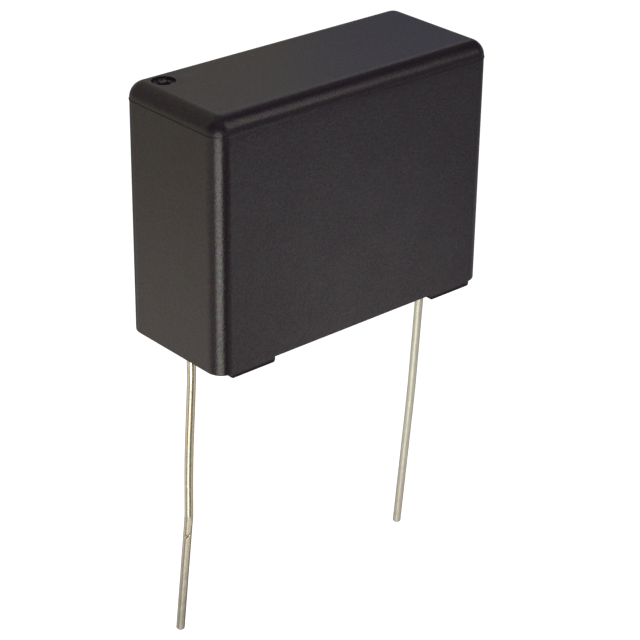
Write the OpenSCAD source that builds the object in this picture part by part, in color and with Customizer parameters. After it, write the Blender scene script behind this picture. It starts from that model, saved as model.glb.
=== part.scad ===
// Box film capacitor: a film winding potted in a moulded box, with two wire leads for a circuit board.
// The origin is the middle of the lead pattern on the seating plane, where the feet meet the board.
// +X runs along the long side, +Y goes to the back and +Z goes up, away from the board.

/* [Lead pattern] */
// Distance between the centres of the two leads at the board
lead_pitch = 27.5; // [22:0.5:38]
// Diameter of the tinned copper wire
lead_d = 0.8; // [0.6:0.05:1]
// How far the line of the leads stands in front of the middle of the case
lead_shift = 0.28; // [0:0.02:0.6]

/* [Case] */
// From a lead's centre to the end of the case
end_margin = 1.75; // [1.6:0.05:3]
// Thickness of the case, front to back
case_t = 12.6; // [10:0.1:20]
// Height of the case from its rim to its top
case_h = 23.2; // [20:0.1:35]
// Thickness of the moulded walls
wall = 0.9; // [0.7:0.05:1]
// Radius of the upright corners
corner_r = 1.5; // [1.2:0.05:2]
// Radius of the edges round the top
top_edge_r = 1.5; // [0.8:0.05:2]

/* [Stand-off feet] */
// Height of the feet below the rim
foot_h = 0.42; // [0.3:0.02:1]
// Length of a foot along the long side
foot_l = 4.75; // [2:0.05:8]
// From the end of the case to the nearest foot
foot_inset = 1.45; // [1:0.05:3]
// Radius of a foot's lower corners
foot_corner_r = 0.16; // [0.05:0.01:0.25]
// How far the rim is relieved between the feet
rim_relief = 0.08; // [0.02:0.01:0.2]

/* [Moulding marks] */
// From the top down to the mould's parting line
parting_drop = 1.6; // [1.2:0.05:3]
// How far the flash on the parting line stands proud
flash_proud = 0.05; // [0.02:0.01:0.1]
// Thickness of that flash
flash_h = 0.12; // [0.06:0.01:0.2]
// Diameter of the gate recess in the top
gate_d = 2.1; // [1.5:0.1:3]
// Depth of the gate recess
gate_depth = 0.4; // [0.2:0.05:0.6]
// From the left end and the back of the case to the middle of the gate recess
gate_inset = 2.5; // [2.2:0.05:4]
// Diameter of the broken gate stub at the floor of the recess
stub_d = 0.9; // [0.5:0.05:1.2]
// Diameter that the stub tapers to at the level of the top
stub_top_d = 0.63; // [0.3:0.01:0.9]
// Height at which the stub broke off, from the floor of the recess
stub_h = 0.24; // [0.1:0.01:0.4]
// Slope at which the stub broke off
stub_slope = 14; // [0:1:20]

/* [Potting and winding] */
// From the rim up to the resin's surface
resin_recess = 0.3; // [0.2:0.02:0.5]
// How far the resin creeps along the walls and leads
creep = 0.18; // [0.05:0.01:0.19]
// Width of the collar of resin round a lead
collar_w = 0.36; // [0.2:0.02:0.6]
// Resin between the winding and the long walls
side_gap = 0.6; // [0.3:0.05:1.2]
// Resin between the winding and the top wall
top_gap = 0.7; // [0.3:0.05:1.5]
// From the rim up to the winding
pot_depth = 2.8; // [2.4:0.1:4]
// Thickness of the metal sprayed on each end of the winding
spray_t = 0.6; // [0.4:0.05:1]
// How far the sprayed metal stays inside the winding's outline
spray_inset = 0.15; // [0.05:0.05:0.5]

/* [Leads] */
// Offset of a lead from its place at the board to its weld on the winding
lead_jog = 0.7; // [0.62:0.02:1]
// Radius of the two bends that make the offset
jog_r = 1; // [0.8:0.05:1.3]
// How deep a lead is welded into the sprayed metal
weld_depth = 0.12; // [0.05:0.01:0.2]
// Length of lead that lies on the winding's end
weld_l = 11; // [6:0.5:14]
// Straight length of a lead below the rim, before it was bent
lead_land = 2.8; // [2:0.1:4]
// Length of the left lead below the rim
left_lead_l = 31.1; // [28:0.1:40]
// Length of the right lead below the rim
right_lead_l = 30.2; // [28:0.1:40]
// Chamfer left by the cropping tool at a lead's tip
tip_chamfer = 0.12; // [0.05:0.01:0.2]

/* [Bends of the leads below the case] */
// Radius of the bend at the end of each lead's straight land
land_bend_r = 8; // [4:0.5:12]
// Angle of that bend in the left lead, towards the back
left_lean_angle = 4.1; // [1:0.1:6]
// Straight length of the left lead below that bend
left_upper_l = 5.6; // [3:0.1:7]
// Angle by which the left lead then sweeps back to the front
left_sweep_angle = 3; // [1:0.1:4]
// Radius of that sweep
left_sweep_r = 110; // [60:5:140]
// Straight length of the left lead between the sweep and the kink
left_middle_l = 2.6; // [1:0.1:4]
// Angle of the kink in the left lead, towards the back
kink_angle = 5.9; // [2:0.1:10]
// Radius of the kink
kink_r = 1.5; // [1:0.1:2.5]
// Angle of the right lead's first bend, towards the back
right_lean_angle = 3.4; // [1:0.1:6]
// Straight length of the right lead below that bend
right_upper_l = 8.4; // [5:0.1:11]
// Angle of the right lead's long bow, towards the back
right_bow_angle = 1.7; // [0.5:0.1:3]
// Radius of that bow
right_bow_r = 160; // [80:5:200]

/* [Hidden] */
$fn = 64;

// Each bend is [angle towards the back, radius of the bend, straight length after it].
// The last straight is cut to the lead's length.
left_bends = [[left_lean_angle, land_bend_r, left_upper_l],
              [-left_sweep_angle, left_sweep_r, left_middle_l],
              [kink_angle, kink_r, 0]];
right_bends = [[right_lean_angle, land_bend_r, right_upper_l],
               [right_bow_angle, right_bow_r, 0]];
TO_RIGHT = 0;
TO_BACK = 90;
// Angle of the two bends that offset a lead inside the resin
JOG_ANGLE = 40;
// A bend is a hair thicker than the straights, which lap into its ends, so that a lead is one solid
BEND_SWELL = 0.02;
LAP = 0.03;

case_l = lead_pitch + 2 * end_margin;
cavity_l = case_l - 2 * wall;
cavity_t = case_t - 2 * wall;
cavity_h = case_h - wall;
cavity_r = max(corner_r - wall, 0.3);
rim_z = foot_h;
top_z = rim_z + case_h;
foot_x = case_l / 2 - foot_inset - foot_l / 2;

winding_t = cavity_t - 2 * side_gap;
winding_z = rim_z + pot_depth;
winding_h = cavity_h - top_gap - pot_depth;
weld_x = lead_pitch / 2 - lead_jog;
contact_x = weld_x - lead_d / 2 + weld_depth;
film_w = 2 * (contact_x - spray_t);

jog_run = (lead_jog - 2 * jog_r * (1 - cos(JOG_ANGLE))) / sin(JOG_ANGLE);
jog_h = 2 * jog_r * sin(JOG_ANGLE) + jog_run * cos(JOG_ANGLE);
weld_run = pot_depth + weld_l - jog_h;

// Flat outline with both of its upper corners rounded, standing on the X axis
module arched_outline(width, height, r) {
    translate([-width / 2, 0]) square([width, height - r]);
    translate([r - width / 2, 0]) square([width - 2 * r, height]);
    for (side = [-1, 1]) translate([side * (width / 2 - r), height - r]) circle(r);
}

// Half of such an outline, from the axis of a corner out to its surface
module corner_profile(r, height, edge_r) {
    intersection() {
        square([r, height]);
        union() {
            square([r, height - edge_r]);
            translate([r - edge_r, height - edge_r]) circle(edge_r);
            if (r > edge_r) square([r - edge_r, height]);
        }
    }
}

// Block with round upright corners and a round edge round its top, standing on z = 0
module rounded_block(length, depth, height, r, top_r) {
    edge_r = min(top_r, r);
    rotate([90, 0, 0]) linear_extrude(depth - 2 * r, center = true)
        arched_outline(length, height, edge_r);
    rotate([90, 0, 90]) linear_extrude(length - 2 * r, center = true)
        arched_outline(depth, height, edge_r);
    for (corner = [[1, 1, 0], [-1, 1, 90], [-1, -1, 180], [1, -1, 270]])
        translate([corner[0] * (length / 2 - r), corner[1] * (depth / 2 - r), 0])
            rotate(corner[2]) rotate_extrude(angle = 90) corner_profile(r, height, edge_r);
}

// Rounded rectangle seen from above
module plan_outline(length, depth, r) {
    square([length, depth - 2 * r], center = true);
    square([length - 2 * r, depth], center = true);
    for (x = [-1, 1], y = [-1, 1]) translate([x * (length / 2 - r), y * (depth / 2 - r)]) circle(r);
}

// Foot in line with the long wall above it, with round lower corners
module foot() {
    root = wall;
    rotate([90, 0, 0]) linear_extrude(wall, center = true)
        translate([0, foot_h + root]) mirror([0, 1]) arched_outline(foot_l, foot_h + root, foot_corner_r);
}

// Ridge of flash where the two halves of the mould met
module flash() {
    translate([0, 0, top_z - parting_drop - flash_h / 2]) linear_extrude(flash_h)
        plan_outline(case_l + 2 * flash_proud, case_t + 2 * flash_proud, corner_r + flash_proud);
}

// What is left of the gate: a short stub, broken off at a slope
module gate_stub() {
    intersection() {
        cylinder(d1 = stub_d, d2 = stub_top_d, h = gate_depth);
        translate([0, 0, stub_h]) rotate([stub_slope, 0, 0])
            translate([0, 0, -gate_d]) cube(2 * gate_d, center = true);
    }
}

module case() {
    gate_at = [gate_inset - case_l / 2, case_t / 2 - gate_inset, top_z - gate_depth];
    color("#343234") difference() {
        translate([0, lead_shift, 0]) {
            difference() {
                union() {
                    translate([0, 0, rim_z])
                        rounded_block(case_l, case_t, case_h, corner_r, top_edge_r);
                    flash();
                    for (x = [-foot_x, foot_x], y = [-1, 1])
                        translate([x, y * (case_t - wall) / 2, 0]) foot();
                }
                translate([0, 0, rim_z])
                    cube([2 * foot_x - foot_l, case_t + wall, 2 * rim_relief], center = true);
                translate(gate_at) cylinder(d = gate_d, h = 2 * gate_depth);
            }
            translate(gate_at) gate_stub();
        }
        cavity(-rim_z - wall);
    }
}

// The room inside the case, from a height above the rim up to the top wall
module cavity(from) {
    translate([0, lead_shift, rim_z + from])
        rounded_block(cavity_l, cavity_t, cavity_h - from, cavity_r, cavity_r);
}

// Resin drawn along a lead where it leaves the surface
module collar(side) {
    translate([side * lead_pitch / 2, 0, rim_z + resin_recess - creep])
        cylinder(d1 = lead_d + collar_w / 2, d2 = lead_d + 2 * collar_w, h = 2 * creep);
}

module potting_resin() {
    color("#26262a") difference() {
        union() {
            difference() {
                cavity(resin_recess - creep);
                // the surface lies hollow between the walls and stands up against them
                translate([0, lead_shift, 0])
                    rounded_block(cavity_l - creep, cavity_t - creep, rim_z + resin_recess, cavity_r, creep);
            }
            collar(-1);
            collar(1);
        }
        film_winding();
        end_contact(-1);
        end_contact(1);
        lead_left();
        lead_right();
    }
}

// Flattened roll seen along its axis: two long flats with a half round at each end
module winding_outline(inset) {
    r = winding_t / 2 - inset;
    for (y = [r, winding_h - 2 * inset - r]) translate([0, y]) circle(r);
    translate([-r, r]) square([2 * r, winding_h - 2 * inset - 2 * r]);
}

module along_winding(from, to, inset) {
    translate([from, lead_shift, winding_z + inset]) rotate([90, 0, 90])
        linear_extrude(to - from) winding_outline(inset);
}

module film_winding() {
    color("#d9d2bd") along_winding(-film_w / 2, film_w / 2, 0);
}

module end_contact(side) {
    inner = side > 0 ? film_w / 2 : -contact_x;
    color("#9a9c9e") difference() {
        along_winding(inner, inner + spray_t, spray_inset);
        if (side > 0) lead_right(); else lead_left();
    }
}

module end_contact_left() { end_contact(-1); }

module end_contact_right() { end_contact(1); }

// Straight stretch of wire, going down from the origin; what follows starts at its end
module run(length) {
    translate([0, 0, -length - LAP]) cylinder(d = lead_d, h = length + 2 * LAP);
    translate([0, 0, -length]) children();
}

// Bend of the wire towards a heading seen from above; what follows starts at its end
module bend(angle, r, heading) {
    rotate(heading) {
        translate([r, 0, 0]) rotate([-90, 0, 180])
            rotate_extrude(angle = angle) translate([r, 0]) circle(d = lead_d + BEND_SWELL);
        translate([r * (1 - cos(angle)), 0, -r * sin(angle)]) rotate([0, -angle, 0]) rotate(-heading)
            children();
    }
}

// Last straight stretch of the wire, with the chamfer that the cropping tool leaves
module cropped_run(length) {
    translate([0, 0, tip_chamfer - length]) cylinder(d = lead_d, h = length - tip_chamfer + LAP);
    translate([0, 0, -length]) cylinder(d1 = lead_d - 2 * tip_chamfer, d2 = lead_d, h = tip_chamfer);
}

// Length of wire in the bends of a list, from one of them to the last
function bent_length(bends, i = 0) =
    i == len(bends) ? 0 : abs(bends[i][0]) * PI / 180 * bends[i][1] + bends[i][2] + bent_length(bends, i + 1);

// The part of a lead below its straight land: its bends, one after the other, and its tip
module bent_end(bends, last_run, i = 0) {
    heading = bends[i][0] > 0 ? TO_BACK : -TO_BACK;
    bend(abs(bends[i][0]), bends[i][1], heading)
        if (i < len(bends) - 1) run(bends[i][2]) bent_end(bends, last_run, i + 1);
        else cropped_run(last_run);
}

// Lead from its weld on the winding, down through the resin, to its tip
module lead(side, bends, length) {
    outward = side > 0 ? TO_RIGHT : TO_RIGHT + 180;
    last_run = length - lead_land - bent_length(bends);
    color("#b9b8b4") translate([side * weld_x, 0, rim_z + jog_h + weld_run])
        run(weld_run)
            bend(JOG_ANGLE, jog_r, outward)
                run(jog_run)
                    bend(JOG_ANGLE, jog_r, outward + 180)
                        run(lead_land) bent_end(bends, last_run);
}

module lead_left() { lead(-1, left_bends, left_lead_l); }

module lead_right() { lead(1, right_bends, right_lead_l); }

case();
potting_resin();
film_winding();
end_contact_left();
end_contact_right();
lead_left();
lead_right();
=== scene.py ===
"""Box film capacitor: black moulded case on low feet, potted, with two tinned wire leads."""

import bpy
import numpy as np
from mathutils import Matrix, Vector


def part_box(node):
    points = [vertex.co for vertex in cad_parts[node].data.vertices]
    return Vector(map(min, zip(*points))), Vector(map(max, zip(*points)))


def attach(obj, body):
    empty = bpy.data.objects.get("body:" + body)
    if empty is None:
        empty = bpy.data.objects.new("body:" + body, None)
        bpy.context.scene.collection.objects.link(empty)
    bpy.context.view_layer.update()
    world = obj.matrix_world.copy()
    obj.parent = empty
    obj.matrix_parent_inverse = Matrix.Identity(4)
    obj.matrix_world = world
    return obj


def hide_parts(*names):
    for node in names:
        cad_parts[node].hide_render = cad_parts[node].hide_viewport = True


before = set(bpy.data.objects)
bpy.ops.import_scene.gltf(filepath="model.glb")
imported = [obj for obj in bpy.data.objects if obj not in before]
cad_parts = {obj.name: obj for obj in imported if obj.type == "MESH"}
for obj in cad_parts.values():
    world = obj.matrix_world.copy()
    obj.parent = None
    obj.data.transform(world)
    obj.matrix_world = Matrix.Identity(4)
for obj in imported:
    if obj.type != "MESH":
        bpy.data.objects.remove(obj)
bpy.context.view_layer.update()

# Everything below is worked out in millimetres and written to the meshes in metres.
MM = 0.001


# ---------------------------------------------------------------------------------------------
# Camera. A long lens, held to the left, in front and above, looks down on the capacitor, which
# fills the frame from the case's top edge to the tips of its leads.
# ---------------------------------------------------------------------------------------------
CAMERA_AZIMUTH = -41.62
CAMERA_ELEVATION = 27.06
CAMERA_ROLL = 0.84
CAMERA_DISTANCE = 188.4
FOCAL_LENGTH = 117.1
SENSOR_WIDTH = 36.0
AIM = np.array([0.26, -0.97, -1.04])


def toward(azimuth, elevation):
    """Unit vectors for directions in degrees: azimuth 0 is -Y, the front, and grows to +X, the right.

    The vector is (sin a cos e, -cos a cos e, sin e), for single angles or for whole arrays of them.
    """
    a, e = np.radians(azimuth), np.radians(elevation)
    return np.stack([np.sin(a) * np.cos(e), -np.cos(a) * np.cos(e), np.sin(e) + 0 * a], axis=-1)


back = Vector(toward(CAMERA_AZIMUTH, CAMERA_ELEVATION))
right = Vector((0, 0, 1)).cross(back).normalized()
turned = Matrix((right, back.cross(right), back)).transposed() @ Matrix.Rotation(
    np.radians(CAMERA_ROLL), 3, "Z")
camera_data = bpy.data.cameras.new("camera")
camera_data.lens = FOCAL_LENGTH
camera_data.sensor_width = SENSOR_WIDTH
camera_data.clip_start = 0.01
camera_data.clip_end = 100
camera = bpy.data.objects.new("camera", camera_data)
camera.matrix_world = Matrix.Translation(
    (Vector(AIM) + CAMERA_DISTANCE * back) * MM) @ turned.to_4x4()
bpy.context.scene.collection.objects.link(camera)
bpy.context.scene.camera = camera


# ---------------------------------------------------------------------------------------------
# Case. One injection moulding in black glass-filled PBT, open below, on four low feet. The mould
# parts 1.6 mm below the top and leaves a line of flash there, and the gate leaves a round recess
# with a broken stub near the left back corner. The walls have a fine spark-eroded texture.
# ---------------------------------------------------------------------------------------------
WALL = 0.9
CORNER_R = 1.5
RIM_Z = 0.42
RIM_RELIEF = 0.08
RIM_EDGE_R = 0.12
FOOT_L = 4.75
FOOT_INSET = 1.45
FOOT_CORNER_R = 0.16
FOOT_FILLET = 0.05
FOOT_DRAFT = 0.012
PARTING_DROP = 1.6
FLASH_PROUD = 0.05
FLASH_H = 0.12
FLASH_WORN = 0.3
WORN_END = 5.0
SOUND_START = 17.0
SHRINK = 0.016
SHRINK_H = 1.0
GATE_R = 1.05
GATE_DEPTH = 0.34
GATE_INSET = 2.5
STUB_R = 0.45
STUB_H = 0.24
STUB_EDGE = 0.12
# how finely the grid over the case is cut, and how far beside an edge a row or ring holds the shading
EVEN_STATIONS = 90
CORNER_STATIONS = 17
GATE_STATIONS = 61
LEAST_STEP = 0.004
HOLD_STEP = 0.03
FLAT_HOLD_STEP = 0.1
INNER_ROW_IN = 3.0

case_low, case_high = (np.array(corner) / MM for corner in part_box("case"))
case_middle = (case_low + case_high) / 2
half_l = (case_high - case_low)[0] / 2 - FLASH_PROUD
half_t = (case_high - case_low)[1] / 2 - FLASH_PROUD
top_z = case_high[2]


def arc(turns, steps):
    """Sines and cosines of equal steps through a share of a quarter turn, the first step left out."""
    angle = np.linspace(0, turns * np.pi / 2, steps + 1)[1:]
    return np.sin(angle), np.cos(angle)


# The outline runs round the case from the middle of its left end, to the right along the front.
# A station is the length along it. At each one, the core point lies on the rectangle through the
# axes of the upright corners, and the wall stands off from it along the outward direction.
core_x, core_y = half_l - CORNER_R, half_t - CORNER_R
quarter = CORNER_R * np.pi / 2
outline_steps = np.array([0, core_y, quarter, 2 * core_x, quarter, 2 * core_y, quarter, 2 * core_x,
                          quarter, core_y])
outline_stations = np.cumsum(outline_steps)
outline_core_x = core_x * np.array([-1, -1, -1, 1, 1, 1, 1, -1, -1, -1])
outline_core_y = core_y * np.array([0, -1, -1, -1, -1, 1, 1, 1, 1, 0])
outline_heading = np.radians([180, 180, 270, 270, 360, 360, 450, 450, 540, 540])
front_start, back_start = outline_stations[2], outline_stations[6]


def core_point(station):
    """The core point at each station: straight steps between the corners' axes."""
    return np.stack([np.interp(station, outline_stations, outline_core_x),
                     np.interp(station, outline_stations, outline_core_y)], axis=-1)


def outward(station):
    """The wall's outward direction at each station, which turns evenly through the corners."""
    heading = np.interp(station, outline_stations, outline_heading)
    return np.stack([np.cos(heading), np.sin(heading)], axis=-1)


# Each foot's end drops from the rim to the foot: a small fillet, a drafted face, a round corner.
corner_sin, corner_cos = arc(1, 6)
foot_end_in = np.concatenate([[-FOOT_FILLET, -0.3 * FOOT_FILLET, 0, FOOT_DRAFT],
                              FOOT_DRAFT + FOOT_CORNER_R * (1 - corner_cos)])


def foot_end_z(rim_z):
    """Heights of the underside at foot_end_in, from the rim's height down to the sole at zero."""
    return np.concatenate([[rim_z, rim_z - 0.24 * FOOT_FILLET, rim_z - FOOT_FILLET, FOOT_CORNER_R],
                           FOOT_CORNER_R * (1 - corner_sin)])


underside = []
for side_start in (front_start, back_start):
    low = side_start + core_x - half_l + FOOT_INSET
    high = side_start + core_x + half_l - FOOT_INSET
    relieved_z = RIM_Z + RIM_RELIEF
    underside += [(low + foot_end_in, foot_end_z(RIM_Z)),
                  ((low + FOOT_L - foot_end_in)[::-1], foot_end_z(relieved_z)[::-1]),
                  (high - FOOT_L + foot_end_in, foot_end_z(relieved_z)),
                  ((high - foot_end_in)[::-1], foot_end_z(RIM_Z)[::-1])]
underside_station, underside_z = (np.concatenate(part) for part in zip(*underside))

# Stations of the grid: the feet's ends, even steps, fine steps round the corners, and stations
# that lie at even angles round the gate, so that its recess comes out round.
gate_at = np.array([GATE_INSET - half_l, half_t - GATE_INSET])
outline_l = outline_stations[-1]
even = np.linspace(0, outline_l, EVEN_STATIONS)
round_corners = np.concatenate([np.linspace(start, start + quarter, CORNER_STATIONS)
                                for start in outline_stations[[1, 3, 5, 7]]])
fine = np.linspace(0, outline_l, 4000)
sight = core_point(fine) - gate_at
sight_angle = np.unwrap(np.arctan2(sight[:, 1], sight[:, 0]))
round_gate = np.interp(np.linspace(sight_angle[0], sight_angle[-1], GATE_STATIONS), sight_angle, fine)
stations = np.unique(np.round(np.concatenate([underside_station, even, round_corners, round_gate]), 4))
stations = stations[:-1][np.diff(stations) > LEAST_STEP]
base_z = np.interp(stations, underside_station, underside_z)

# Rows of the grid, as (inset from the outer face, height) pairs: down the inner wall from the
# ceiling, round the rim, up the outer wall, over the flash and round the top edge. The rim's rows
# give the height above the underside at their station.
edge_sin, edge_cos = arc(1, 3)
by_sin, by_cos = RIM_EDGE_R * (1 - edge_sin), RIM_EDGE_R * (1 - edge_cos)
rim_rows = np.array([(WALL, 0), (WALL, 0), (WALL, RIM_EDGE_R + HOLD_STEP), (WALL, RIM_EDGE_R),
                     *zip(WALL - by_cos, by_sin),
                     (WALL - RIM_EDGE_R - HOLD_STEP, 0), (RIM_EDGE_R + HOLD_STEP, 0), (RIM_EDGE_R, 0),
                     *zip(by_sin, by_cos), (0, RIM_EDGE_R + HOLD_STEP)])
parting_z = top_z - PARTING_DROP
half_flash = FLASH_H / 2
flash_rows = np.array([(0, -half_flash - HOLD_STEP), (0, -half_flash), (-0.8, 0.005 - half_flash),
                       (-1, 0.025 - half_flash), (-1, half_flash - 0.025), (-0.8, half_flash - 0.005),
                       (0, half_flash), (0, half_flash + 0.02)])
# rows up the plain wall, closer together below the flash, where the wall draws in
plain_z = np.concatenate([[1.5, 4, 8, 12, 16, 20],
                          parting_z - [1.42, 1.12, 0.82, 0.62, 0.42, 0.32, 0.22, 0.14]])
edge_start_z = top_z - CORNER_R
top_sin, top_cos = arc(0.965, 18)
wall_rows = np.concatenate([
    [(0, z) for z in plain_z],
    flash_rows * [FLASH_PROUD, 1] + [0, parting_z],
    [(0, edge_start_z)],
    np.stack([CORNER_R * (1 - top_cos), edge_start_z + CORNER_R * top_sin], axis=-1)])

rows = np.concatenate([rim_rows, wall_rows])
inset = np.repeat(rows[:, :1], len(stations), axis=1)
height = np.repeat(rows[:, 1:], len(stations), axis=1)
height[:len(rim_rows)] += base_z
# the inner wall runs from the ceiling, over one row that the resin hides, to the rim
ceiling_z = top_z - WALL
height[:2] = [[ceiling_z], [RIM_Z + INNER_ROW_IN]]
# the flash is a little uneven along its length: a slow swell and a fine ripple
swell = np.sin(1.9 * stations) * np.sin(0.37 * stations + 1)
unevenness = 0.82 + 0.12 * swell + 0.06 * np.sin(7 * stations)
# and at the left end of the front it has worn down
worn_down = np.interp(stations - front_start, [-0.7, 0.5, WORN_END, SOUND_START],
                      [1, FLASH_WORN, FLASH_WORN, 1])
inset = np.where(inset < 0, inset * unevenness * worn_down, inset)
# just below the flash the long walls draw in a hair, where they shrank away from the mould
below_flash = height < parting_z - half_flash + 0.003
drawn_in = np.clip(1 - (parting_z - height) / SHRINK_H, 0, 1) ** 2 * below_flash
inset = inset + SHRINK * drawn_in * outward(stations)[:, 1] ** 2
plan = core_point(stations) + (CORNER_R - inset)[..., None] * outward(stations)
walls = np.concatenate([plan, height[..., None]], axis=-1)

# The flat top runs in from the last ring of the edge to the circle of the gate recess. Its first
# ring lies close to the edge, where there is room, so that the flat's shading stays even.
last_ring = walls[-1]
ray = last_ring[:, :2] - gate_at
reach = np.linalg.norm(ray, axis=1)
ray = ray / reach[:, None]
mouth = GATE_R + 0.02
first_share = np.minimum(FLAT_HOLD_STEP / (reach - mouth), 0.3)
shares = np.concatenate([[0], np.linspace(0.1, 1, 9)])[:, None] * (1 - first_share) + first_share
flat_radius = reach + shares * (mouth - reach)


def stub_height(radius, angle):
    """How far the gate's broken stub stands over the recess floor: a flat-topped cone that rises
    through a smooth step at its edge, cut at a slope and torn into small peaks by crossed waves.

    The step is 3 t^2 - 2 t^3 of the share t of the edge's width. The slope falls to the back and left.
    """
    x, y = radius * np.cos(angle), radius * np.sin(angle)
    rise = np.clip((STUB_R + HOLD_STEP - radius) / STUB_EDGE, 0, 1)
    rise = rise * rise * (3 - 2 * rise)
    torn = 0.035 * np.sin(17 * x + 2) * np.sin(15 * y + 1) + 0.02 * np.sin(31 * x - 9 * y)
    return rise * (STUB_H - 0.2 * y + 0.08 * x + torn)


# Rows of the recess, as (radius, height from the top) pairs: its lip, its wall, the round edge of
# its floor, and the floor itself, with close rings over the edge of the stub.
recess_rows = np.array([(GATE_R + 0.005, -0.006), (GATE_R, -0.02), (GATE_R, -0.06),
                        (GATE_R, 0.06 - GATE_DEPTH), (GATE_R - 0.02, 0.02 - GATE_DEPTH),
                        (GATE_R - 0.06, -GATE_DEPTH)]
                       + [(r, -GATE_DEPTH) for r in (0.8, 0.6, 0.5, 0.47, 0.44, 0.41, 0.38, 0.34, 0.28,
                                                     0.22, 0.16, 0.1, 0.05, 0)])
recess_radius = np.repeat(recess_rows[:, :1], len(stations), axis=1)
recess_z = top_z + recess_rows[:, 1:] + stub_height(recess_radius, np.arctan2(ray[:, 1], ray[:, 0]))
radius = np.concatenate([flat_radius, recess_radius])
flat_z = np.full_like(flat_radius, top_z)
top = np.concatenate([gate_at + radius[..., None] * ray,
                      np.concatenate([flat_z, recess_z])[..., None]], axis=-1)
ceiling = np.zeros_like(walls[:1]) + [0, 0, ceiling_z]
case_points = np.concatenate([ceiling, walls, top]) + [case_middle[0], case_middle[1], 0]


def grid_mesh(name, points, closed_round=True):
    """A mesh over a grid of points in millimetres: rows, then places along a row, then x, y, z.

    Each cell is one face, and a row closes on itself where closed_round says so. A row that lies on
    one point is a pole, whose vertices new_piece merges.
    A UV map in metres of the grid's own lengths goes on the cells: along the rows, across the rows.
    """
    row_count, column_count = points.shape[:2]
    columns = np.arange(column_count if closed_round else column_count - 1)
    following = (columns + 1) % column_count
    starts = np.arange(row_count - 1)[:, None] * column_count
    quads = np.stack([starts + columns, starts + following, starts + column_count + following,
                      starts + column_count + columns], axis=-1).reshape(-1, 4)
    mesh = bpy.data.meshes.new(name)
    mesh.from_pydata((points.reshape(-1, 3) * MM).tolist(), [], quads.tolist())
    wrapped = np.concatenate([points, points[:, :1]], axis=1)
    along = np.cumsum(np.linalg.norm(np.diff(wrapped, axis=1), axis=2).max(axis=0))
    along = np.concatenate([[0], along]) * MM
    across = np.cumsum(np.linalg.norm(np.diff(points, axis=0), axis=2).max(axis=1))
    across = np.concatenate([[0], across]) * MM
    row_of, column_of = (part.ravel() for part in np.meshgrid(np.arange(row_count - 1), columns,
                                                                indexing="ij"))
    u_start, u_end = along[column_of], along[column_of + 1]
    v_start, v_end = across[row_of], across[row_of + 1]
    u = np.stack([u_start, u_end, u_end, u_start], axis=1)
    v = np.stack([v_start, v_start, v_end, v_end], axis=1)
    mesh.uv_layers.new(name="grid").data.foreach_set("uv", np.stack([u, v], axis=-1).ravel())
    mesh.polygons.foreach_set("use_smooth", np.ones(len(quads), bool))
    mesh.update()
    return mesh


def new_piece(name, mesh, material, node):
    """Puts a mesh into the scene as the piece that stands for a CAD node, with its finish. Vertices
    closer than a thousandth of a millimetre are merged."""
    piece = bpy.data.objects.new(name, mesh)
    bpy.context.scene.collection.objects.link(piece)
    mesh.materials.append(material)
    merge = piece.modifiers.new("merge", "WELD")
    merge.merge_threshold = 0.001 * MM
    normals = piece.modifiers.new("normals", "WEIGHTED_NORMAL")
    normals.keep_sharp = True
    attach(piece, "root")
    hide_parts(node)


def linear(colour):
    """An sRGB hex colour as linear red, green, blue and alpha."""
    parts = np.array([int(colour[k:k + 2], 16) / 255 for k in (1, 3, 5)])
    parts = np.where(parts <= 0.04045, parts / 12.92, ((parts + 0.055) / 1.055) ** 2.4)
    return (*parts, 1.0)


def add_node(tree, kind, inputs, **settings):
    """Adds a node with its own settings. Each input, by name or number, is set to a value or, where
    it is another node's output, linked to it."""
    node = tree.nodes.new(kind)
    for name, value in settings.items():
        setattr(node, name, value)
    for name, value in inputs.items():
        if isinstance(value, bpy.types.NodeSocket):
            tree.links.new(value, node.inputs[name])
        else:
            node.inputs[name].default_value = value
    return node


def new_material(name):
    """An empty node material and its tree."""
    material = bpy.data.materials.new(name)
    material.use_nodes = True
    material.node_tree.nodes.clear()
    return material, material.node_tree


def noise(tree, place, size, detail, roughness=0.5):
    """A noise texture whose blotches are about the given size in millimetres."""
    return add_node(tree, "ShaderNodeTexNoise", {"Vector": place, "Scale": 1 / (size * MM),
                                                 "Detail": detail, "Roughness": roughness})


def ramp(tree, value, start, end, low=0.0, high=1.0):
    """A straight ramp from low, where the value is start, to high at end, and level beyond both."""
    return add_node(tree, "ShaderNodeMapRange", {"Value": value, "From Min": start, "From Max": end,
                                                 "To Min": low, "To Max": high}).outputs["Result"]


def maths(tree, operation, *values, clamp=False):
    """A sum, product or comparison of values, held between 0 and 1 where clamp says so."""
    return add_node(tree, "ShaderNodeMath", dict(enumerate(values)), operation=operation,
                    use_clamp=clamp).outputs[0]


def blend(tree, share, colour, other):
    """A mix of two colours with the given share of the other one."""
    return add_node(tree, "ShaderNodeMix", {0: share, 6: colour, 7: other}, data_type="RGBA").outputs[2]


def level(tree, share, value, other):
    """A mix of two plain values with the given share of the other one."""
    return add_node(tree, "ShaderNodeMix", {0: share, 2: value, 3: other}).outputs[0]


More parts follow.
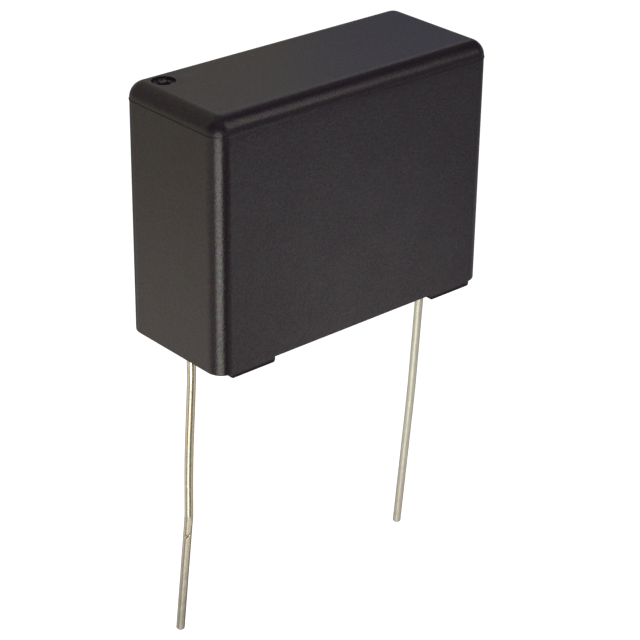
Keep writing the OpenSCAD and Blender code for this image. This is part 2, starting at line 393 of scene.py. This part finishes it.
def black_moulded_pbt():
    """Black PBT with short glass fibre, from a spark-eroded mould: a deep warm black with a soft
    sheen. A grain of about 0.2 mm and a mottling of 0.1 mm break up the highlights, which also vary a
    little in hue, and faint cloudy flow marks make them wander. A dull dark line of painted shade
    follows the parting line under the flash, fainter towards the left of the front, where the flash is
    worn down. The lowest part of the feet is dull and darkened with painted shade. The torn floor of
    the gate recess is dull, with patches of painted light, and a ring of painted shadow round the stub."""
    material, tree = new_material("black moulded PBT")
    place = add_node(tree, "ShaderNodeTexCoord", {}).outputs["Object"]
    spot = add_node(tree, "ShaderNodeSeparateXYZ", {"Vector": place})
    grain = noise(tree, place, 0.22, 2.0, 0.6).outputs["Fac"]
    mottle = noise(tree, place, 0.11, 2.0, 0.8).outputs["Fac"]
    cloud = noise(tree, place, 5, 3.0, 0.55).outputs["Fac"]
    hue = noise(tree, place, 0.45, 3.0, 0.7)
    tone = blend(tree, ramp(tree, grain, 0.3, 0.7), linear("#191319"), linear("#1f181d"))
    flow = ramp(tree, cloud, 0.3, 0.7, 0.25, 0.31)
    sheen = ramp(tree, mottle, 0.3, 0.7, 0.18, 0.5)
    tint = add_node(tree, "ShaderNodeVectorMath", {0: hue.outputs["Color"], 1: (0.9, 0.9, 0.9),
                                                   2: (0.53, 0.53, 0.54)}, operation="MULTIPLY_ADD")

    # painted shade along the flash, from the distance to the parting line, less its wear on the front
    off_line = maths(tree, "ABSOLUTE", maths(tree, "SUBTRACT", spot.outputs["Z"], parting_z * MM))
    painted_line_shade = ramp(tree, off_line, 0.06 * MM, 0.11 * MM, 0.5, 0.0)
    at_front = ramp(tree, spot.outputs["Y"], (case_low[1] + 0.4) * MM, (case_low[1] + 1.2) * MM,
                    1.0, 0.0)
    worn = ramp(tree, spot.outputs["X"], (WORN_END - core_x) * MM, (SOUND_START - core_x) * MM,
                0.45, 0.0)
    line_left = maths(tree, "SUBTRACT", painted_line_shade, maths(tree, "MULTIPLY", at_front, worn), clamp=True)
    # the lowest 0.3 mm of the feet curls under: it is dull, and darkened with painted shade
    sole = ramp(tree, spot.outputs["Z"], 0.27 * MM, 0.4 * MM, 0.8, 0.0)
    # where painted shade darkens the colour, which is also where the finish is dull
    plain = maths(tree, "MAXIMUM", line_left, sole)
    tone_line = blend(tree, plain, tone, linear("#141210"))

    # the gate recess: torn and dull all over, with patches of painted light on its floor,
    # left out in a ring of painted shadow round the stub
    gate_x, gate_y = gate_at + case_middle[:2]
    from_gate = add_node(tree, "ShaderNodeVectorMath", {0: place, 1: (gate_x * MM, gate_y * MM,
                                                                      (top_z - GATE_DEPTH) * MM)},
                         operation="DISTANCE").outputs["Value"]
    torn = ramp(tree, from_gate, (GATE_R - 0.03) * MM, (GATE_R + 0.02) * MM, 1.0, 0.0)
    # a ring round the stub keeps its dark colour: painted shadow of the stub
    stub_shadow_ring = maths(tree, "COMPARE", from_gate, (STUB_R + 0.07) * MM, 0.1 * MM)
    painted_light_patches = maths(tree, "SUBTRACT", ramp(tree, hue.outputs["Fac"], 0.42, 0.56), stub_shadow_ring, clamp=True)
    tone_all = blend(tree, torn, tone_line, blend(tree, painted_light_patches, linear("#141014"), linear("#4a4448")))

    dull = maths(tree, "MAXIMUM", plain, torn)
    bump = add_node(tree, "ShaderNodeBump", {"Height": grain, "Strength": 0.7, "Distance": 0.02 * MM})
    shader = add_node(tree, "ShaderNodeBsdfPrincipled",
                      {"Base Color": tone_all, "Roughness": level(tree, dull, flow, 0.6), "IOR": 1.5,
                       "Specular IOR Level": level(tree, dull, sheen, 0.12),
                       "Specular Tint": tint.outputs[0], "Normal": bump.outputs["Normal"]})
    add_node(tree, "ShaderNodeOutputMaterial", {"Surface": shader.outputs["BSDF"]})
    return material


new_piece("moulded_case", grid_mesh("moulded_case", case_points), black_moulded_pbt(), "case")


# ---------------------------------------------------------------------------------------------
# Potting resin. Black epoxy poured into the upturned case and cured there. Its surface lies just
# inside the rim, glossy, and creeps a little way up the walls and the leads.
# ---------------------------------------------------------------------------------------------
def cast_epoxy():
    """Black cast epoxy: a wet-looking gloss with faint ripples from curing and a few dust specks."""
    material, tree = new_material("cast epoxy")
    place = add_node(tree, "ShaderNodeTexCoord", {}).outputs["Object"]
    ripple = noise(tree, place, 3, 2.0).outputs["Fac"]
    dust = noise(tree, place, 0.15, 1.0).outputs["Fac"]
    bump = add_node(tree, "ShaderNodeBump", {"Height": ripple, "Strength": 0.4, "Distance": 0.05 * MM})
    shader = add_node(tree, "ShaderNodeBsdfPrincipled",
                      {"Base Color": blend(tree, ripple, linear("#17171a"), linear("#202024")),
                       "Roughness": ramp(tree, dust, 0.62, 0.72, 0.16, 0.4), "IOR": 1.55,
                       "Normal": bump.outputs["Normal"]})
    add_node(tree, "ShaderNodeOutputMaterial", {"Surface": shader.outputs["BSDF"]})
    return material


def finish_node(node, material):
    """Gives a CAD node its finish, in place of the plain one that it came with."""
    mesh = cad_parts[node].data
    mesh.materials.clear()
    mesh.materials.append(material)


finish_node("potting_resin", cast_epoxy())


# ---------------------------------------------------------------------------------------------
# Leads. Drawn copper wire, 0.8 mm thick and hot-tinned, welded to the ends of the winding. Each
# goes down through the resin with an offset and leans back below the case, and its tip is cropped.
# The left one was nicked and kinked by a tool about 18 mm below the rim.
# ---------------------------------------------------------------------------------------------
LEAD_PITCH = 27.5
LEAD_R = 0.4
LEAD_JOG = 0.7
JOG_R = 1.0
JOG_ANGLE = np.radians(40.0)
POT_DEPTH = 2.8
WELD_L = 11.0
LEAD_LAND = 2.8
LEFT_DROP = 30.8
RIGHT_DROP = 30.0
# each bend is (angle to the back, radius of the bend, straight length after it)
LEFT_BENDS = [(4.1, 8, 5.6), (-3, 110, 2.6), (5.9, 1.5, 0)]
RIGHT_BENDS = [(3.4, 8, 8.4), (1.7, 160, 0)]
TIP_CHAMFER = 0.12
WIRE_UNEVEN = 0.008
NICK_DROP = 19.6
NICK_ANGLE = 130.0
NICK_DEPTH = 0.2
NICK_W = 0.11
NICK_ARC = 0.5
NICK_SKEW = 0.25
BURR_H = 0.01
BURR_W = 0.1
PATH_STEP = 0.06
RING_POINTS = 40

jog_run = (LEAD_JOG - 2 * JOG_R * (1 - np.cos(JOG_ANGLE))) / np.sin(JOG_ANGLE)
jog_h = 2 * JOG_R * np.sin(JOG_ANGLE) + jog_run * np.cos(JOG_ANGLE)
weld_run = POT_DEPTH + WELD_L - jog_h


def wire_path(stretches, start, side, length):
    """Points of the wire's centre line and how far along the wire each of them lies.

    Each stretch is (length, outward lean, backward lean), with the leans in degrees at its end, and a
    lean changes evenly over a stretch. The last stretch ends where the wire has its whole length. The
    line is the sum of short steps along the heading (side sin o, sin b, -cos o cos b) of the leans.
    """
    ends = np.cumsum([0] + [stretch[0] for stretch in stretches])
    ends[-1] = length
    out_lean = [0] + [stretch[1] for stretch in stretches]
    back_lean = [0] + [stretch[2] for stretch in stretches]
    tip = length - TIP_CHAMFER * np.array([1.3, 1, 0.5])
    along = np.unique(np.concatenate([np.arange(0, length, PATH_STEP), ends, tip]))
    middle = (along[1:] + along[:-1]) / 2
    out = np.radians(np.interp(middle, ends, out_lean))
    backward = np.radians(np.interp(middle, ends, back_lean))
    pace = np.diff(along)[:, None]
    heading = np.stack([side * np.sin(out), np.sin(backward), -np.cos(out) * np.cos(backward)], axis=-1)
    path = np.concatenate([[start], start + np.cumsum(heading * pace, axis=0)])
    return along, path


def bend_stretches(bends):
    """Stretches for bends of (angle to the back, radius, straight length after it)."""
    stretches, lean = [], 0.0
    for angle, bend_r, straight in bends:
        lean = lean + angle
        stretches += [(abs(np.radians(angle)) * bend_r, 0, lean), (straight, 0, lean)]
    return stretches


def ring_angles():
    """Even angles round the wire, starting at the back, where the UV map's seam is."""
    return np.linspace(0, 2 * np.pi, RING_POINTS, endpoint=False) - np.pi / 2


def swept_wire(along, path, radius):
    """Rings of points round the path, with a radius for each ring and each angle. Each ring lies
    square to the path, with its points at even angles from the direction across the lean."""
    heading = np.gradient(path, along, axis=0)
    heading /= np.linalg.norm(heading, axis=1)[:, None]
    across = np.cross(heading, [0, 1, 0])
    across /= np.linalg.norm(across, axis=1)[:, None]
    over = np.cross(heading, across)
    angle = ring_angles()
    ring = np.cos(angle)[:, None] * across[:, None] + np.sin(angle)[:, None] * over[:, None]
    return path[:, None] + radius[..., None] * ring


def lead_points(side, bends, drop, nick_drop=None):
    """One lead: its path, with the wire's own small unevenness, the nick and the cropped tip.

    The nick is a bell-shaped dent, the exponential of minus the squared distances from its middle,
    along the wire in NICK_W and round it in NICK_ARC radians. The burr is a smaller bell below it.
    """
    jog = JOG_ANGLE * JOG_R
    lean = np.degrees(JOG_ANGLE)
    stretches = [(weld_run, 0, 0), (jog, lean, 0), (jog_run, lean, 0), (jog, 0, 0),
                 (LEAD_LAND, 0, 0)] + bend_stretches(bends)
    before_rim = weld_run + 2 * jog + jog_run
    start = np.array([side * (LEAD_PITCH / 2 - LEAD_JOG), 0, RIM_Z + jog_h + weld_run])
    along, path = wire_path(stretches, start, side, before_rim + drop)
    angle = ring_angles()
    left = (before_rim + drop - along)[:, None]
    along_rings = along[:, None]
    # drawing and tinning leave the wire a hair uneven
    waves = np.sin(0.9 * along_rings + 2 * angle) * np.sin(0.31 * along_rings + side)
    radius = LEAD_R * (1 - WIRE_UNEVEN * (1 + waves))
    if nick_drop:
        # the tool bit in askew, a little below the kink, and raised a small burr beside the nick
        turned_from = angle - np.radians(NICK_ANGLE)
        near = along_rings - before_rim - nick_drop - NICK_SKEW * turned_from
        bite = np.exp(-(near / NICK_W) ** 2 - (turned_from / NICK_ARC) ** 2)
        burr = np.exp(-((near - 0.25) / BURR_W) ** 2 - (turned_from / NICK_ARC) ** 2)
        radius = radius - NICK_DEPTH * bite + BURR_H * burr
    radius = np.minimum(radius, LEAD_R - np.clip(TIP_CHAMFER - left, 0, None))
    points = swept_wire(along, path, radius)
    cap_start = points[:1].mean(axis=1, keepdims=True) + 0 * points[:1]
    cap_end = points[-1:].mean(axis=1, keepdims=True) + 0 * points[-1:]
    inner_end = 0.6 * cap_end + 0.4 * points[-1:]
    return np.concatenate([cap_start, points, inner_end, cap_end])


def tinned_copper_wire():
    """Copper wire with a thin coat of tin: a grey, slightly warm metal, drawn in fine lines along the
    wire. The left lead is brighter, with a sharp streak of light, the right one is satin, and both are
    duller and greyer towards their tips, in small patches of oxide."""
    material, tree = new_material("tinned copper wire")
    place = add_node(tree, "ShaderNodeTexCoord", {}).outputs["Object"]
    spot = add_node(tree, "ShaderNodeSeparateXYZ", {"Vector": place})
    grid = add_node(tree, "ShaderNodeUVMap", {}, uv_map="grid").outputs["UV"]
    drawn = add_node(tree, "ShaderNodeMapping", {"Vector": grid,
                                                 "Scale": (1 / (0.12 * MM), 1 / (0.4 * MM), 1)})
    line = add_node(tree, "ShaderNodeTexNoise", {"Vector": drawn.outputs["Vector"], "Scale": 1.0,
                                                 "Detail": 3.0, "Roughness": 0.7})
    patch = noise(tree, place, 0.5, 3.0, 0.7).outputs["Fac"]
    satin = ramp(tree, spot.outputs["X"], -10 * MM, 10 * MM)
    aged = ramp(tree, spot.outputs["Z"], -16 * MM, -29 * MM, 0.0, 0.8)
    dull = maths(tree, "ADD", aged, ramp(tree, patch, 0.35, 0.7, 0.0, 0.4), clamp=True)
    tone_left = blend(tree, dull, linear("#beb5a0"), linear("#969288"))
    tone_right = blend(tree, dull, linear("#ccccc0"), linear("#bcb8ae"))
    bright = ramp(tree, dull, 0.0, 1.0, 0.18, 0.38)
    bump = add_node(tree, "ShaderNodeBump", {"Height": line.outputs["Fac"], "Strength": 0.7,
                                             "Distance": 0.01 * MM})
    shader = add_node(tree, "ShaderNodeBsdfPrincipled",
                      {"Base Color": blend(tree, satin, tone_left, tone_right), "Metallic": 1.0,
                       "Roughness": level(tree, satin, bright, 0.55), "Normal": bump.outputs["Normal"]})
    add_node(tree, "ShaderNodeOutputMaterial", {"Surface": shader.outputs["BSDF"]})
    return material


tinned = tinned_copper_wire()
left_points = lead_points(-1, LEFT_BENDS, LEFT_DROP, NICK_DROP)
right_points = lead_points(1, RIGHT_BENDS, RIGHT_DROP)
new_piece("wire_lead_left", grid_mesh("wire_lead_left", left_points), tinned, "lead_left")
new_piece("wire_lead_right", grid_mesh("wire_lead_right", right_points), tinned, "lead_right")


# ---------------------------------------------------------------------------------------------
# Film winding. Metallised polypropylene film, wound and pressed to a flattened roll, which the
# resin holds. It is sealed in, and shows only where the part is cut open.
# ---------------------------------------------------------------------------------------------
def pp_film():
    """Wound polypropylene film with its metal layer: cream, with faint bands about 2 mm apart that
    stand for its turns, because the real ones are far too fine to see."""
    material, tree = new_material("PP film")
    place = add_node(tree, "ShaderNodeTexCoord", {}).outputs["Object"]
    turns = add_node(tree, "ShaderNodeTexWave", {"Vector": place, "Scale": 1 / (6 * MM),
                                                 "Distortion": 0.6, "Detail": 1.0},
                     bands_direction="Y").outputs["Fac"]
    bump = add_node(tree, "ShaderNodeBump", {"Height": turns, "Strength": 0.3, "Distance": 0.02 * MM})
    shader = add_node(tree, "ShaderNodeBsdfPrincipled",
                      {"Base Color": blend(tree, turns, linear("#cfc7b0"), linear("#e0dac8")),
                       "Roughness": 0.3, "Normal": bump.outputs["Normal"]})
    add_node(tree, "ShaderNodeOutputMaterial", {"Surface": shader.outputs["BSDF"]})
    return material


finish_node("film_winding", pp_film())


# ---------------------------------------------------------------------------------------------
# End contacts. Zinc sprayed hot on both ends of the winding, which joins all its turns. The leads
# are welded to it.
# ---------------------------------------------------------------------------------------------
def sprayed_zinc():
    """Flame-sprayed zinc: a dull grey crust of frozen droplets about 0.1 mm across."""
    material, tree = new_material("sprayed zinc")
    place = add_node(tree, "ShaderNodeTexCoord", {}).outputs["Object"]
    droplets = add_node(tree, "ShaderNodeTexVoronoi", {"Vector": place,
                                                       "Scale": 1 / (0.1 * MM)}).outputs["Distance"]
    bump = add_node(tree, "ShaderNodeBump", {"Height": droplets, "Strength": 0.6,
                                             "Distance": 0.03 * MM}, invert=True)
    shader = add_node(tree, "ShaderNodeBsdfPrincipled",
                      {"Base Color": blend(tree, droplets, linear("#a6a8aa"), linear("#828486")),
                       "Metallic": 1.0, "Roughness": 0.6, "Normal": bump.outputs["Normal"]})
    add_node(tree, "ShaderNodeOutputMaterial", {"Surface": shader.outputs["BSDF"]})
    return material


zinc = sprayed_zinc()
finish_node("end_contact_left", zinc)
finish_node("end_contact_right", zinc)


# ---------------------------------------------------------------------------------------------
# Floor and studio. A wide white floor far below the leads, a white room, soft lamps, and plain
# cards of many tones round the part, which only gloss and metal see. They draw the bright streaks
# and the dark lines beside them.
# ---------------------------------------------------------------------------------------------
FLOOR_Z = -220.0
FLOOR_REACH = 20000.0
FLOOR_GLOW = 0.76
ROOM_LIGHT = 0.3
CARD_STEPS = 24


def background_mask(tree):
    """1 for what the camera sees straight, in gloss and metal, or through glass, and 0 for light."""
    path = add_node(tree, "ShaderNodeLightPath", {})
    seen = maths(tree, "MAXIMUM", path.outputs["Is Camera Ray"], path.outputs["Is Glossy Ray"])
    return maths(tree, "MAXIMUM", seen, path.outputs["Is Transmission Ray"])


def white_floor():
    """Matt white paper. Where it is seen it also glows a little, so that it comes out white and
    keeps a soft shadow."""
    material, tree = new_material("white floor")
    paper = add_node(tree, "ShaderNodeBsdfDiffuse", {"Color": linear("#f0f0f0")})
    glow = add_node(tree, "ShaderNodeEmission",
                    {"Strength": maths(tree, "MULTIPLY", background_mask(tree), FLOOR_GLOW)})
    both = add_node(tree, "ShaderNodeAddShader", {0: paper.outputs[0], 1: glow.outputs[0]})
    add_node(tree, "ShaderNodeOutputMaterial", {"Surface": both.outputs[0]})
    return material


def curved_card(azimuths, elevations, distance):
    """A card bent to part of a sphere round the capacitor, between two azimuths and two elevations."""
    azimuth, elevation = np.meshgrid(np.linspace(*azimuths, CARD_STEPS),
                                     np.linspace(*elevations, CARD_STEPS))
    return distance * toward(azimuth, elevation)


def plain_card(colour, brightness):
    """Card of one even colour and brightness, where 1 is white."""
    material, tree = new_material("plain card")
    shader = add_node(tree, "ShaderNodeEmission", {"Color": linear(colour), "Strength": brightness})
    add_node(tree, "ShaderNodeOutputMaterial", {"Surface": shader.outputs[0]})
    return material


floor_corners = FLOOR_REACH * np.array([[(-1, -1, 0), (1, -1, 0)], [(-1, 1, 0), (1, 1, 0)]])
floor_points = floor_corners + [0, 0, FLOOR_Z]
floor = bpy.data.objects.new("floor", grid_mesh("floor", floor_points, closed_round=False))
floor.data.materials.append(white_floor())
bpy.context.scene.collection.objects.link(floor)

# Cards: name, azimuths, elevations, distance, colour, brightness.
CARDS = [
    ("card_front", (-31, -7), (-32, 5), 100, "#ffffff", 0.02),
    ("card_front_low", (-38, -7), (-47, -32), 100, "#fffaf0", 0.12),
    ("card_front_right", (-7, 14), (-17, 5), 100, "#ffffff", 0.02),
    ("card_front_corner", (-7, 3), (-46, -17), 100, "#fff8f6", 0.3),
    ("card_front_corner_right", (3, 14), (-46, -17), 100, "#fff8f6", 0.6),
    ("card_front_upper", (-120, 12), (5, 90), 260, "#ffffff", 0.04),
    ("card_right_left", (14, 33), (-62, -20), 100, "#fff8f6", 0.72),
    ("card_right_floor", (33, 51), (-62, -20), 100, "#fff8f6", 1.42),
    ("card_right_near", (51, 57), (-55, -10), 85, "#e6e8ff", 0.12),
    ("card_right_side", (57, 85), (-32, -18), 260, "#f4f0ff", 0.6),
    ("card_right_side_back", (85, 118), (-32, -18), 260, "#f4f0ff", 0.4),
    ("card_right_side_low", (57, 118), (-44, -32), 260, "#fffaf0", 0.6),
    ("card_right_side_floor", (57, 118), (-62, -44), 260, "#ffffff", 0.03),
    ("card_right_horizon", (14, 37), (-18, 19), 260, "#f4f2ff", 0.28),
    ("card_right_glow", (37, 47), (-18, -4), 260, "#f4f2ff", 0.55),
    ("card_right_glow_top", (37, 47), (-4, 19), 260, "#f4f2ff", 0.3),
    ("card_right_far", (47, 118), (-18, 19), 260, "#f4f2ff", 0.27),
    ("card_right_window", (12, 47.5), (20, 53), 260, "#fff8f0", 2.1),
    ("card_right_window_top", (12, 37), (53, 59), 260, "#fff8f0", 1.6),
    ("card_right", (47.5, 118), (19, 53), 260, "#f0f0ff", 0.06),
    ("card_right_upper", (37, 86), (53, 90), 260, "#ffffff", 0.03),
    ("card_right_top", (12, 37), (59, 90), 260, "#ffffff", 0.03),
    ("card_right_back", (86, 118), (53, 90), 260, "#f0f0ff", 0.28),
    ("card_back_cool", (118, 139), (5, 34), 150, "#e0e2ff", 0.28),
    ("card_back_warm", (139, 160), (5, 34), 150, "#fcf4dc", 0.31),
    ("card_back_upper", (118, 160), (34, 60), 150, "#ffffff", 0.75),
    ("card_back_top", (118, 240), (60, 90), 150, "#ffffff", 0.3),
    ("card_left_upper", (160, 240), (26, 60), 150, "#fbf3d8", 0.44),
    ("card_left", (160, 240), (5, 26), 150, "#fbf3d8", 0.42),
    ("card_left_horizon", (195, 226), (-21, -11), 260, "#fbf3d8", 0.6),
    ("card_left_horizon_top", (195, 252), (-11, 5), 260, "#f5f4d8", 0.8),
    ("card_left_floor", (195, 226), (-62, -21), 260, "#fff6ea", 1.1),
    ("card_left_near", (226, 252), (-21, -11), 260, "#fbf3dc", 0.7),
    ("card_left_near_floor", (226, 252), (-31, -21), 260, "#fff6ea", 1.5),
    ("card_left_near_low", (226, 252), (-62, -31), 260, "#fff6ea", 1.0),
    ("card_left_gap", (252, 288), (-28, 5), 260, "#fffaf0", 0.8),
    ("card_left_gap_low", (252, 280), (-62, -28), 260, "#fffaf0", 0.42),
    ("card_behind", (118, 195), (-40, 5), 260, "#ffffff", 0.2),
    ("card_behind_floor", (118, 195), (-62, -40), 260, "#ffffff", 0.04),
    ("card_below", (-180, 180), (-90, -62), 150, "#ffffff", 0.03),
]
for card_name, card_azimuths, card_elevations, distance, colour, brightness in CARDS:
    card_points = curved_card(card_azimuths, card_elevations, distance)
    card = bpy.data.objects.new(card_name, grid_mesh(card_name, card_points, closed_round=False))
    card.data.materials.append(plain_card(colour, brightness))
    card.visible_camera = False
    card.visible_diffuse = False
    card.visible_shadow = False
    bpy.context.scene.collection.objects.link(card)

# Lamps: name, azimuth, elevation, distance, width, height, power in watts, colour, seen in gloss.
LAMPS = [
    ("low_softbox", -46, -23, 250, 144, 54, 0.142, "#fffaee", True),
    ("low_softbox_left", -62, -33.5, 250, 120, 38, 0.03, "#fffaee", True),
    ("low_softbox_top", -46.3, 0, 250, 142, 148, 0.153, "#fffaee", True),
    ("top_softbox", -20, 70, 450, 350, 350, 1.6, "#ffffff", False),
]
for lamp_name, azimuth, elevation, distance, wide, tall, power, colour, in_gloss in LAMPS:
    light = bpy.data.lights.new(lamp_name, "AREA")
    light.shape = "RECTANGLE"
    light.size = wide * MM
    light.size_y = tall * MM
    light.energy = power
    light.color = linear(colour)[:3]
    lamp = bpy.data.objects.new(lamp_name, light)
    direction = Vector(toward(azimuth, elevation))
    lamp.location = direction * distance * MM
    lamp.rotation_euler = direction.to_track_quat("Z", "Y").to_euler()
    lamp.visible_camera = False
    lamp.visible_glossy = in_gloss
    bpy.context.scene.collection.objects.link(lamp)

# The room is white where it is seen, and only lights the part at the room's own plain level.
room = bpy.data.worlds.new("white room")
room.use_nodes = True
room.node_tree.nodes.clear()
room_strength = ramp(room.node_tree, background_mask(room.node_tree), 0.0, 1.0, ROOM_LIGHT, 1.0)
room_colour = add_node(room.node_tree, "ShaderNodeBackground", {"Color": (1, 1, 1, 1),
                                                               "Strength": room_strength})
add_node(room.node_tree, "ShaderNodeOutputWorld", {"Surface": room_colour.outputs[0]})
bpy.context.scene.world = room
bpy.context.scene.view_settings.view_transform = "Standard"
